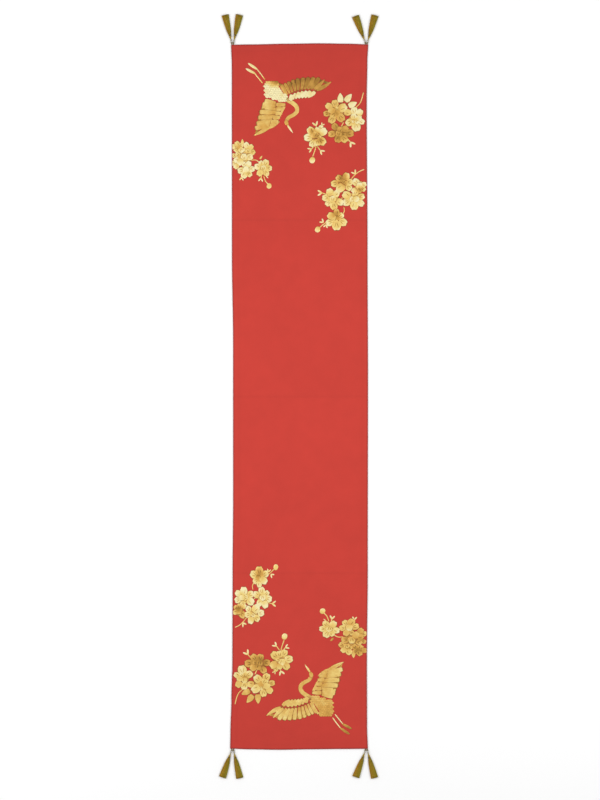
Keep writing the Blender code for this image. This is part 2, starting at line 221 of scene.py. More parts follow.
def sweep(shape, template, path, radius, tint, twists=1):
    """Adds a copy of the template tube bent along path(share) -> (centre, aside, up)."""
    verts_before = len(shape.verts)
    faces_before = len(shape.faces)
    shape.from_mesh(template)
    shape.verts.ensure_lookup_table()
    shape.faces.ensure_lookup_table()
    for vert in shape.verts[verts_before:]:
        centre, aside, up = path(vert.co.z)
        reach = radius(vert.co.z) if callable(radius) else radius
        vert.co = centre + (aside * vert.co.x + up * vert.co.y) * reach
    uv = shape.loops.layers.uv["turns"]
    for face in shape.faces[faces_before:]:
        for loop in face.loops:
            loop[uv].uv.y *= twists
    return tinted(shape, shape.verts[verts_before:], tint)


def thread_shape():
    shape = bmesh.new()
    shape.loops.layers.uv.new("turns")
    shape.verts.layers.float.new("tint")
    return shape


def tinted(shape, verts, tint):
    layer = shape.verts.layers.float["tint"]
    for vert in verts:
        vert[layer] = tint
    return verts


# ---- materials ----


# The Mix node's sockets that carry colour
COLOUR_A, COLOUR_B, COLOUR_OUT = 6, 7, 2


class Finish:
    """A material whose nodes are added and joined in short calls."""

    def __init__(self, name, roughness, metallic=0.0, specular=0.5, sheen=0.0):
        self.material = bpy.data.materials.new(name)
        self.material.use_nodes = True
        self.tree = self.material.node_tree
        self.shader = self.tree.nodes["Principled BSDF"]
        self.set("Roughness", roughness)
        self.set("Metallic", metallic)
        self.set("Specular IOR Level", specular)
        self.set("Sheen Weight", sheen)

    def node(self, kind, inputs, **settings):
        made = self.tree.nodes.new("ShaderNode" + kind)
        for key, value in settings.items():
            setattr(made, key, value)
        for socket, value in inputs.items():
            self.fill(made.inputs[socket], value)
        return made

    def fill(self, socket, value):
        if isinstance(value, bpy.types.NodeSocket):
            self.tree.links.new(value, socket)
        else:
            socket.default_value = value

    def math(self, operation, *values):
        return self.node("Math", dict(enumerate(values)), operation=operation).outputs[0]

    def ripple(self, value):
        """The sine of the value, brought to 0 to 1."""
        return self.math("MULTIPLY_ADD", self.math("SINE", value), 0.5, 0.5)

    def varied(self, value, pattern, amount):
        """The value, more or less where the pattern is over or under a half."""
        return self.math("MULTIPLY_ADD", self.math("SUBTRACT", pattern, 0.5), amount, value)

    def mix(self, share, first, second, blend="MIX"):
        inputs = {"Factor": share, COLOUR_A: first, COLOUR_B: second}
        return self.node("Mix", inputs, data_type="RGBA", blend_type=blend).outputs[COLOUR_OUT]

    def darkened(self, tone, pattern, low, high, share=1.0):
        """The tone, multiplied by a grey that goes from low to high, each (pattern, level)."""
        return self.mix(share, tone, self.grey(pattern, low, high), "MULTIPLY")

    def ramp(self, value, *stops):
        made = self.node("ValToRGB", {0: value})
        elements = made.color_ramp.elements
        while len(elements) < len(stops):
            elements.new(0.5)
        for element, (position, colour) in zip(elements, stops):
            element.position = position
            element.color = (*colour, 1)
        return made.outputs[0]

    def grey(self, value, *stops):
        return self.ramp(value, *[(at, (level,) * 3) for at, level in stops])

    def place(self, source="Object", scale=(1, 1, 1)):
        found = self.node("TexCoord", {}).outputs[source]
        return self.node("Mapping", {"Vector": found, "Scale": scale}).outputs[0]

    def directions(self, source="Object"):
        return self.node("SeparateXYZ", {0: self.place(source)}).outputs[:2]

    def noise(self, vector, scale, detail=2.0):
        inputs = {"Vector": vector, "Scale": scale, "Detail": detail}
        return self.node("TexNoise", inputs).outputs["Fac"]

    def attribute(self, name):
        return self.node("Attribute", {}, attribute_name=name).outputs["Fac"]

    def bump(self, height, distance, strength, **under):
        inputs = {"Strength": strength, "Distance": distance, "Height": height, **under}
        return self.node("Bump", inputs).outputs[0]

    def set(self, socket, value):
        self.fill(self.shader.inputs[socket], value)


def scaled(colour, factor):
    return tuple(channel * factor for channel in colour)


def opaque(colour):
    return (*colour, 1.0)


def plain_weave(name, colour, thread_pitch, roughness):
    """Plain-woven cloth: threads over and under, uneven yarn, and its edge and fold shading."""
    finish = Finish(name, roughness, specular=0.25, sheen=0.03)
    across, along = finish.directions()
    waves = [
        finish.math("SINE", finish.math("MULTIPLY", way, math.pi / thread_pitch))
        for way in (across, along)
    ]
    weave = finish.math("MULTIPLY_ADD", finish.math("MULTIPLY", *waves), 0.5, 0.5)
    weft = finish.noise(finish.place(scale=(45, 1500, 1)), 1.0)
    warp = finish.noise(finish.place(scale=(1500, 45, 1)), 1.0)
    yarn = finish.math("ADD", weft, warp)
    mottle = finish.noise(finish.place(), 26.0, 4.0)
    broad = finish.noise(finish.place(), 5.0)
    yarn_tones = [opaque(scaled(colour, level)) for level in (0.93, 1.05)]
    tone = finish.mix(finish.grey(yarn, (0.35, 0.0), (0.65, 1.0)), *yarn_tones)
    # Painted shade in the weave's hollows: darker where the threads go under
    tone = finish.darkened(tone, weave, (0.0, 0.72), (1.0, 1.0), share=0.22)
    tone = finish.darkened(tone, mottle, (0.3, 0.95), (0.7, 1.0))
    tone = finish.darkened(tone, broad, (0.3, 0.95), (0.7, 1.0))
    # Painted shade: where the shade attribute is high, the cloth is multiplied towards this darker
    # colour
    painted_shade_colour = (0.55, 0.62, 0.72)
    shade = finish.ramp(finish.attribute("shade"), (0.0, (1, 1, 1)), (1.0, painted_shade_colour))
    finish.set("Base Color", finish.mix(1.0, tone, shade, "MULTIPLY"))
    relief = finish.math("ADD", weave, finish.math("MULTIPLY", yarn, 0.5))
    unevenness = finish.bump(mottle, 0.6 * MM, 0.35)
    finish.set("Normal", finish.bump(relief, 0.08 * MM, 0.6, Normal=unevenness))
    return finish.material


def gold_foil():
    """Heat-pressed foil: gold tones that carry painted reflection, fine dimples from the weave below,
    and painted shade along the rims.
    """
    finish = Finish("gold foil", 0.34, metallic=0.55)
    streaks = finish.noise(finish.place(), 160.0, 3.0)
    clouds = finish.noise(finish.place(), 55.0, 3.0)
    cracks = finish.noise(finish.place(), 900.0)
    # The tone attribute is painted reflection: brighter and darker foil from place to place
    gold = finish.ramp(
        finish.varied(finish.varied(finish.attribute("tone"), clouds, 0.42), streaks, 0.16),
        (0.0, (0.20, 0.09, 0.015)),
        (0.3, (0.44, 0.22, 0.035)),
        (0.55, (0.78, 0.43, 0.09)),
        (0.8, (0.95, 0.70, 0.22)),
        (1.0, (1.0, 0.90, 0.50)),
    )
    # Painted shade: each piece darkens towards a shaded red-brown at its rim
    painted_rim_shade = finish.grey(finish.attribute("rim"), (0.1, 0.0), (0.7, 1.0))
    finish.set("Base Color", finish.mix(painted_rim_shade, gold, opaque((0.30, 0.075, 0.02))))
    finish.set("Roughness", finish.grey(streaks, (0.2, 0.26), (0.8, 0.46)))
    dimples = finish.bump(streaks, 0.3 * MM, 0.5)
    finish.set("Normal", finish.bump(cracks, 0.05 * MM, 0.6, Normal=dimples))
    return finish.material


def twisted_thread(name, colours, roughness, plies=2):
    """Plied thread: the plies wind round it, and each thread has its own tint."""
    finish = Finish(name, roughness, specular=0.3)
    round_it, along = finish.directions("UV")
    turn = finish.math("ADD", round_it, along)
    crest = finish.ripple(finish.math("MULTIPLY", turn, math.tau * plies))
    fuzz = finish.noise(finish.place(), 900.0, 3.0)
    low, middle, high = colours
    tone = finish.ramp(finish.attribute("tint"), (0.0, low), (0.5, middle), (1.0, high))
    # Painted shade in the grooves between the plies
    tone = finish.darkened(tone, crest, (0.0, 0.55), (0.6, 1.0))
    finish.set("Base Color", finish.darkened(tone, fuzz, (0.3, 0.82), (0.7, 1.08)))
    finish.set("Normal", finish.bump(crest, 0.12 * MM, 0.9))
    return finish.material


# ---- cloth ----

face_low, face_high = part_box("face_panel")
lining_low, lining_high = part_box("lining_panel")
HALF_WIDTH = (face_high.x - face_low.x) / 2
HALF_LENGTH = (face_high.y - face_low.y) / 2


def side_drifts(along):
    """How far the left and right side stray here, along being y over half the length."""
    return along_guide(LEFT_DRIFT, along) * MM, along_guide(RIGHT_DRIFT, along) * MM


def lie(x, y):
    """Where a point of the flat runner lies, with its edges and corners strayed."""
    across, along = x / HALF_WIDTH, y / HALF_LENGTH
    left, right = side_drifts(along)
    strayed_x = x + left + (right - left) * (across + 1) / 2
    end = FAR_DRIFT if along > 0 else NEAR_DRIFT
    strayed_y = y + along_guide(end, across) * along**4 * MM
    return strayed_x, strayed_y


def rise(x, y):
    """How far the laid runner lifts off the table here: slack waves and pressed folds."""
    slack = noise.noise(Vector((x * 5.0, y * 3.2, 0.7))) + 0.4 * noise.noise(
        Vector((x * 14.0, y * 11.0, 4.1))
    )
    height = WAVE_HEIGHT * (0.6 + slack * 0.8)
    for share in CREASES:
        height += CREASE_HEIGHT * hump(y - share * HALF_LENGTH, CREASE_HALF_WIDTH)
    return max(0.02 * MM, height)


def from_edge(x, y):
    """How far inside the runner's outline a laid point is, near enough."""
    left, right = side_drifts(y / HALF_LENGTH)
    return min(x + HALF_WIDTH - left, HALF_WIDTH + right - x, HALF_LENGTH - abs(y))


def hem_drop(x, y):
    """The face lies lower past the seam allowance that is folded in under it."""
    return HEM_STEP * smooth((from_edge(x, y) - SEAM_ALLOWANCE) / HEM_SLOPE + 0.5)


def face_top(x, y):
    return face_high.z + rise(x, y) - hem_drop(x, y)


def fold_section(panel_height, lip_height):
    """(inset, height) from the flat panel's edge round the fold to the lip's end."""
    radius = abs(lip_height - panel_height) / 2
    middle = (panel_height + lip_height) / 2
    inset = CLOTH / 2 + radius
    section = []
    for step in range(1, FOLD_STEPS + 1):
        angle = math.pi * step / FOLD_STEPS
        height = middle + (panel_height - middle) * math.cos(angle)
        section.append((inset - radius * math.sin(angle), height))
    section += [(SEAM_ALLOWANCE / 2, lip_height), (SEAM_ALLOWANCE, lip_height)]
    return inset, section


def turn_under(shape, inset, section):
    """Extrudes the panel's border round the fold and back in as the seam allowance."""
    border = [edge for edge in shape.edges if edge.is_boundary]
    for new_inset, height in section:
        made = bmesh.ops.extrude_edge_only(shape, edges=border)["geom"]
        edges = [item for item in made if isinstance(item, bmesh.types.BMEdge)]
        border = [edge for edge in edges if edge.is_boundary]
        for vert in {vert for edge in border for vert in edge.verts}:
            if abs(abs(vert.co.x) - HALF_WIDTH + inset) < JOINED:
                vert.co.x = math.copysign(HALF_WIDTH - new_inset, vert.co.x)
            if abs(abs(vert.co.y) - HALF_LENGTH + inset) < JOINED:
                vert.co.y = math.copysign(HALF_LENGTH - new_inset, vert.co.y)
            vert.co.z = height
        inset = new_inset


def crowded_column(share):
    """-1 to 1, with the columns closer together near the sides."""
    return share * (1 + COLUMN_CROWDING) - COLUMN_CROWDING * share**3


def crowded_row(share):
    """-1 to 1, with the rows closer together at the ends and at the pressed folds."""
    at = (share + 1) / 2
    at -= ROW_CROWDING * math.sin(8 * math.pi * at) / (8 * math.pi)
    return at * 2 - 1


def cloth_sheet(name, node, panel_height, lip_height, drops, finish):
    """One layer of cloth, its edges turned in, laid with the waves and drift of the runner."""
    inset, section = fold_section(panel_height, lip_height)
    shape = bmesh.new()
    shade = shape.verts.layers.float.new("shade")
    bmesh.ops.create_grid(shape, x_segments=COLUMNS, y_segments=ROWS, size=1)
    for vert in shape.verts:
        vert.co.x = crowded_column(vert.co.x) * (HALF_WIDTH - inset)
        vert.co.y = crowded_row(vert.co.y) * (HALF_LENGTH - inset)
        vert.co.z = panel_height
    flat = set(shape.verts)
    turn_under(shape, inset, section)
    for vert in shape.verts:
        x, y = lie(vert.co.x, vert.co.y)
        height = vert.co.z + rise(x, y)
        inside = min(HALF_WIDTH - abs(vert.co.x), HALF_LENGTH - abs(vert.co.y))
        if vert in flat:
            height -= hem_drop(x, y) * drops
        # Painted shade, kept in the shade attribute: darker along the rolled edges, at the hem's step,
        # on the pressed folds and towards the ends
        hem_edge = hump(inside - SEAM_ALLOWANCE, HEM_SLOPE)
        crease = max(hump(y - share * HALF_LENGTH, CREASE_HALF_WIDTH) for share in CREASES)
        ends = (abs(y) / HALF_LENGTH) ** 3
        tone = hump(inside, EDGE_SHADE_WIDTH) + HEM_SHADE * hem_edge + CREASE_SHADE * crease
        vert[shade] = min(1, tone + END_SHADE * ends)
        vert.co = (x, y, height)
    bmesh.ops.recalc_face_normals(shape, faces=shape.faces)
    obj = piece(shape, name, finish, "cloth", node, outwards=False)
    wall = obj.modifiers.new("cloth thickness", "SOLIDIFY")
    wall.thickness = CLOTH
    wall.offset = 0
    wall.use_even_offset = False
    return obj


def seam_stitches(where, template, finish):
    """Short slanting stitches that draw the two folded edges together."""
    shape = thread_shape()
    height = (face_low.z + lining_high.z) / 2
    across = where in ("far", "near")
    half = (HALF_WIDTH if across else HALF_LENGTH) - STITCH
    count = round(2 * half / (STITCH + STITCH_GAP))
    outward = {"far": ALONG, "near": -ALONG, "left": -ACROSS, "right": ACROSS}[where]
    for number in range(count):
        begin = -half + 2 * half * number / count
        ends = []
        for at, lift in ((begin, -STITCH_SLANT), (begin + STITCH, STITCH_SLANT)):
            if across:
                x, y = lie(at, HALF_LENGTH * outward.y)
            else:
                x, y = lie(HALF_WIDTH * outward.x, at)
            ends.append(Vector((x, y, height + rise(x, y) + lift)))
        side = (ends[1] - ends[0]).cross(outward).normalized()

        def path(share, ends=ends, side=side):
            sunk = (math.sin(math.pi * share) - 1) * STITCH_SINK
            return ends[0].lerp(ends[1], share) + outward * sunk, outward, side

        sweep(shape, template, path, STITCH_RADIUS, (number * 0.37) % 1, twists=3)
    node = f"seam_thread_{where}"
    return piece(shape, f"seam_stitches_{where}", finish, "cloth", node)


# ---- foil print ----
# The print is drawn in millimetres round its own centre, for the far end. The near end has the
# same print turned half round.

FAR_CRANE, NEAR_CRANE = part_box("foil_crane_far"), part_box("foil_crane_near")
PRINT_CENTRE = sum((*FAR_CRANE, *NEAR_CRANE), Vector()) / 4

# Where each print lies against the drawing: (x, y) shift and squeeze across from its side edge
FITTED = {
    "far": {"small": (0, 0, 0.95)},
    "near": {"crane": (0, -1, 1.0), "large": (-2, -3, 1.0), "single": (2, -3, 1.0),
             "middle": (-5, -3, 0.875), "small": (0, -2, 1.1)},
}


def blade_template(columns, lines):
    """A flat sheet, -1 to 1 across and 0 to 1 along, its cross lines at the given places."""
    shape = bmesh.new()
    rows = len(lines) - 1
    bmesh.ops.create_grid(shape, x_segments=columns, y_segments=rows, size=1)
    edge_column = 1 - 2 / columns
    for vert in shape.verts:
        if abs(abs(vert.co.x) - edge_column) < 0.01:
            vert.co.x = math.copysign(RIM_START, vert.co.x)
        vert.co.y = (1 + lines[round((1 + vert.co.y) / 2 * rows)]) / 2
    return mesh_of(shape, "blade")


BLADE = blade_template(6, (-1, -0.94, -RIM_START, -0.45, 0, 0.45, RIM_START, 0.94, 1))
SCALE = blade_template(4, (-1, -RIM_START, 0, RIM_START, 1))
STRIP = blade_template(4, [line / 12 - 1 for line in range(25)])


def long_feather(share):
    closing = math.sqrt(max(0, 1 - max(0, (share - 0.8) / 0.2) ** 2))
    return (0.6 + 0.4 * smooth(share / 0.55)) * max(0.12, closing)


def pointed_feather(share):
    return max(0.06, (0.55 + 0.45 * smooth(share / 0.4)) * (1 - share**2.6))


def rounded_petal(share):
    return max(0.25, math.sin(math.pi * (0.13 + 0.80 * share)) ** 0.7)


def pointed_leaf(share):
    return max(0.04, 1.12 * math.sin(math.pi * (0.12 + 0.88 * share) ** 0.85))


def oval(share):
    return max(0.18, math.sqrt(max(0, 1 - (2 * share - 1) ** 2)))


def even_stroke(share):
    return 1.0


class Print:
    """One foil transfer, drawn flat and then laid on the cloth."""

    def __init__(self, end, which):
        self.end = end
        self.which = which
        self.shape = bmesh.new()
        self.tone = self.shape.verts.layers.float.new("tone")
        self.rim = self.shape.verts.layers.float.new("rim")
        self.count = 0

    def ribbon(self, spine, width, outline, tones, notch=0.0, rim=1.0, over=0.0, template=BLADE):
        """A strip of foil along spine(share), half its width following outline(share)."""
        before = len(self.shape.verts)
        self.shape.from_mesh(template)
        self.count += 1
        layer = LAYER_STEP * (self.count % LAYERS) + over
        root_tone, tip_tone = tones
        for vert in self.shape.verts[before:]:
            across, share = vert.co.x, vert.co.y
            ahead = spine(min(1, share + 0.02)) - spine(max(0, share - 0.02))
            ahead.normalize()
            aside = Vector((ahead.y, -ahead.x))
            dip = notch * smooth((share - 0.7) / 0.3) * (1 - abs(across))
            centre = spine(share) - ahead * dip
            flat = centre + aside * across * width / 2 * outline(share)
            outwards = max(abs(across), abs(2 * share - 1))
            # Painted shade towards the piece's border, and painted reflection in the tone from root to
            # tip
            vert[self.rim] = rim * max(0, (outwards - RIM_START) / (1 - RIM_START))
            vert[self.tone] = root_tone + (tip_tone - root_tone) * share
            crown = (1 - across * across) * min(1, width / 6) * math.sin(math.pi * share)
            vert.co = (flat.x, flat.y, layer + crown)

    def blade(self, root, tip, width, outline, tones, bend=0.0, **how):
        root, tip = Vector(root), Vector(tip)
        aside = Vector((tip.y - root.y, root.x - tip.x)) * bend

        def spine(share):
            return root.lerp(tip, share) + aside * math.sin(math.pi * share)

        self.ribbon(spine, width, outline, tones, **how)

    def centred(self, x, y, length, width, degrees, outline, tones, **how):
        half = heading(degrees) * length / 2
        self.blade(Vector((x, y)) - half, Vector((x, y)) + half, width, outline, tones, **how)

    def stroke(self, points, width, tones, outline=even_stroke, rim=0.3, over=0.0):
        self.ribbon(through(points), width, outline, tones, rim=rim, over=over, template=STRIP)

    def finish(self, node, material):
        """Trims the print at the runner's side, lays it on the cloth and makes the piece."""
        shift_x, shift_y, squeeze = FITTED[self.end].get(self.which, (0, 0, 1.0))
        turn = ENDS[self.end]
        edge = math.copysign(HALF_WIDTH / MM, -1 if self.which == "small" else 1)
        # Painted reflection: the tone is made darker or brighter round each listed place
        painted_reflections = PAINTED_REFLECTIONS.get((self.end, self.which), ())
        for vert in self.shape.verts:
            for x, y, reach, change in painted_reflections:
                vert[self.tone] += change * hump(math.hypot(vert.co.x - x, vert.co.y - y), reach)
            x = edge + (vert.co.x - edge) * squeeze + shift_x
            y = vert.co.y + shift_y
            vert.co.x = PRINT_CENTRE.x + x * turn * MM
            vert.co.y = PRINT_CENTRE.y + y * turn * MM
        middle = sum(vert.co.y for vert in self.shape.verts) / len(self.shape.verts)
        for sign, drift in zip((-1, 1), side_drifts(middle / HALF_LENGTH)):
            limit = sign * HALF_WIDTH + drift
            bmesh.ops.bisect_plane(
                self.shape,
                geom=everything(self.shape),
                plane_co=(limit - sign * SIDE_MARGIN, 0, 0),
                plane_no=(sign, 0, 0),
                clear_outer=True,
            )
        for vert in self.shape.verts:
            crown = FOIL_LIFT + FOIL + vert.co.z * FOIL_CROWN
            vert.co.z = face_top(vert.co.x, vert.co.y) + crown
        self.shape.normal_update()
        for face in self.shape.faces:
            if face.normal.z < 0:
                face.normal_flip()
        name = node.replace("foil_", "pressed_")
        obj = piece(self.shape, name, material, "cloth", node, outwards=False)
        wall = obj.modifiers.new("foil thickness", "SOLIDIFY")
        wall.thickness = FOIL
        wall.offset = -1
        return obj


def inside(x, y, outline):
    crossings = 0
    for (x1, y1), (x2, y2) in zip(outline, outline[1:] + outline[:1]):
        if (y1 > y) != (y2 > y) and x < x1 + (y - y1) * (x2 - x1) / (y2 - y1):
            crossings += 1
    return crossings % 2 == 1


# Painted reflection on each print, darker and brighter from place to place: x, y, reach, change of tone
PAINTED_REFLECTIONS = {
    ("far", "crane"): [(-66, 827, 11, -0.60), (-83, 828, 8, -0.45), (-52, 824, 9, -0.50),
                       (-95, 770, 18, 0.12), (86, 825, 20, 0.20)],
    ("near", "crane"): [(-70, 812, 16, -0.16), (60, 830, 30, 0.10), (-118, 690, 20, 0.15)],
    ("far", "large"): [(120, 752, 15, 0.28), (150, 745, 12, 0.25), (86, 726, 14, 0.12)],
    ("near", "large"): [(100, 684, 16, -0.16), (150, 712, 14, 0.10)],
    ("far", "single"): [(33, 697, 9, -0.42), (45, 684, 11, -0.46), (58, 669, 11, -0.40)],
    ("near", "single"): [(44, 676, 12, 0.10)],
    ("far", "middle"): [(114, 577, 14, -0.50), (160, 541, 10, -0.42), (94, 483, 15, -0.50)],
    ("near", "middle"): [(160, 550, 16, -0.32), (97, 449, 14, -0.42)],
    ("far", "small"): [(-160, 650, 14, -0.06)],
    ("near", "small"): [(-130, 590, 18, 0.12)],
}

# The crane, in the print's millimetres: (root, tip) of each feather, from the wing's tip inwards
NEAR_WING = [((44, 801), (86, 825)), ((38, 803), (68, 831)), ((30, 803), (53, 836)),
    ((22, 803), (39, 837)), ((14, 802), (25, 837)), ((6, 801), (11, 836)), ((-2, 799), (-4, 834)),
    ((-9, 797), (-17, 830)), ((-16, 794), (-29, 825)), ((-23, 791), (-38, 821)),
    ((-29, 788), (-46, 818)), ((-34, 787), (-52, 821))]
NEAR_COVERTS = [((22, 783), (43, 799)), ((14, 782), (31, 801)), ((6, 781), (21, 801)),
    ((-2, 780), (11, 800)), ((-10, 779), (1, 798)), ((-17, 777), (-8, 795)), ((-24, 774), (-17, 791))]
FAR_WING = [((-70, 712), (-119, 683)), ((-70, 718), (-116, 702)), ((-66, 725), (-112, 715)),
    ((-57, 735), (-108, 731)), ((-52, 745), (-104, 746)), ((-56, 752), (-98, 758)),
    ((-58, 761), (-96, 766)), ((-58, 768), (-90, 775))]
FAR_COVERTS = [((-58, 713), (-76, 709)), ((-52, 721), (-74, 719)), ((-48, 731), (-68, 730)),
    ((-43, 742), (-62, 741)), ((-38, 753), (-60, 753)), ((-34, 764), (-60, 764))]
FAR_LEADING = [[(-52, 722), (-66, 708), (-92, 697), (-114, 685)],
    [(-38, 760), (-43, 748), (-48, 736), (-54, 724)]]
BODY = [(-30, 774), (-46, 773), (-70, 779), (-87, 785), (-90, 799), (-88, 814), (-82, 824), (-66, 827),
    (-54, 823), (-50, 808), (-41, 797), (-31, 788)]
WEB_INSET = 10
WEB_WIDTH = 13
FAR_FEATHER = 14
FAR_COVERT = 11.5
LEADING_EDGE = 7
NECK_WIDTH = 12
LEG_WIDTH = 2.6
FOOT_WIDTH = 7
BODY_HEADING = 152
BODY_MIDDLE = Vector((-62, 801))
SCALE_LENGTH = 8.4
SCALE_WIDTH = 6.8
SCALE_ROW = 5.6
NECK = [(-33, 778), (-17, 769), (-6, 759), (-5, 747), (-13, 738), (-26, 731), (-33, 722)]
LEGS = [[(-88, 829), (-98, 843), (-110, 858)], [(-94, 820), (-103, 831), (-116, 847)]]
FEET = [((-107, 855), (-132, 872)), ((-112, 844), (-138, 858))]

# Tones from 0, dark olive, to 1, pale gold, as painted reflection: (root, tip) for the far and the near
# crane
CRANE_TONES = {
    "near_wing": {"far": (0.40, 0.24), "near": (0.58, 0.72)},
    "near_coverts": {"far": (1.0, 0.94), "near": (0.74, 0.66)},
    "far_wing": {"far": (0.55, 0.68), "near": (0.56, 0.78)},
    "far_coverts": {"far": (0.70, 0.60), "near": (0.70, 0.56)},
    "body": {"far": (0.98, 1.0), "near": (0.58, 0.66)},
    "neck": {"far": (0.78, 0.56), "near": (0.66, 0.58)},
    "beak": {"far": (0.95, 1.0), "near": (0.80, 0.90)},
    "legs": {"far": (0.75, 0.90), "near": (0.95, 0.90)},
    "feet": {"far": (0.85, 1.0), "near": (0.50, 0.30)},
}


def feather_gap_shade(drawn, feathers, tone):
    """Painted shade between a wing's feathers: darker foil under them, ending a little short of their
    tips.
    """
    line = [Vector(tip) + (Vector(root) - Vector(tip)).normalized() * WEB_INSET
            for root, tip in feathers]
    drawn.stroke(line, WEB_WIDTH, (tone, tone),
                 lambda share: math.sqrt(max(0.2, math.sin(math.pi * share))),
                 rim=0.0, over=UNDERLAY)


def crane(end, material):
    drawn = Print(end, "crane")
    tones = {part: by_end[end] for part, by_end in CRANE_TONES.items()}
    feather_gap_shade(drawn, NEAR_WING, min(tones["near_wing"]) - 0.2)
    feather_gap_shade(drawn, FAR_WING, tones["far_wing"][0] - 0.25)
    for number, (root, tip) in enumerate(NEAR_WING):
        low, high = tones["near_wing"]
        by_body = smooth((number - 7) / 4)
        # Painted reflection: alternate feathers a little paler, and on the far crane those by the body
        # paler still
        paler = 0.05 * (number % 2) + (0.22 * by_body if end == "far" else 0)
        outline = pointed_feather if number < 2 else long_feather
        width = 13.0 - 0.4 * number - 2.0 * by_body
        drawn.blade(root, tip, width, outline, (low + paler, high + paler), bend=0.04)
    for root, tip in FAR_WING:
        outline = pointed_feather if root[1] < 715 else long_feather
        drawn.blade(root, tip, FAR_FEATHER, outline, tones["far_wing"], bend=-0.03)
    for points in FAR_LEADING:
        drawn.stroke(points, LEADING_EDGE, tones["far_coverts"], lambda share: 1.1 - 0.9 * share,
                     rim=0.2, over=0.5)
    body_scales(drawn, tones["body"])
    for number, (root, tip) in enumerate(NEAR_COVERTS):
        width = 11 - 0.3 * number if number < 6 else 13
        drawn.blade(root, tip, width, long_feather, tones["near_coverts"], bend=0.05,
                    over=LIFTED)
    for root, tip in FAR_COVERTS:
        drawn.blade(root, tip, FAR_COVERT, long_feather, tones["far_coverts"], rim=0.7,
                    over=LIFTED)
    drawn.stroke(NECK, NECK_WIDTH, tones["neck"], lambda share: 1 - 0.2 * share, rim=0.6)
    drawn.centred(-32, 717, 15, 10.5, -70, oval, (tones["neck"][1],) * 2, rim=0.5)
    drawn.blade((-30, 712), (-15, 690), 6, pointed_feather, tones["beak"], rim=0.3)
    for leg in LEGS:
        drawn.stroke(leg, LEG_WIDTH, tones["legs"])
    for root, tip in FEET:
        drawn.blade(root, tip, FOOT_WIDTH, oval, tones["feet"], rim=0.4)
    return drawn.finish(f"foil_crane_{end}", material)


def body_scales(drawn, tones):
    """Rows of small feathers over the body, each row set half a feather across from the last."""
    onward = heading(BODY_HEADING)
    aside = Vector((-onward.y, onward.x))
    rows = range(-10, 11)
    for row in rows:
        for column in rows:
            across = (column + 0.5 * (row % 2)) * SCALE_WIDTH * 0.9
            at = BODY_MIDDLE + onward * row * SCALE_ROW + aside * across
            if inside(at.x, at.y, BODY):
                drawn.centred(at.x, at.y, SCALE_LENGTH, SCALE_WIDTH, BODY_HEADING, rounded_petal,
                              tones, rim=0.45, template=SCALE)
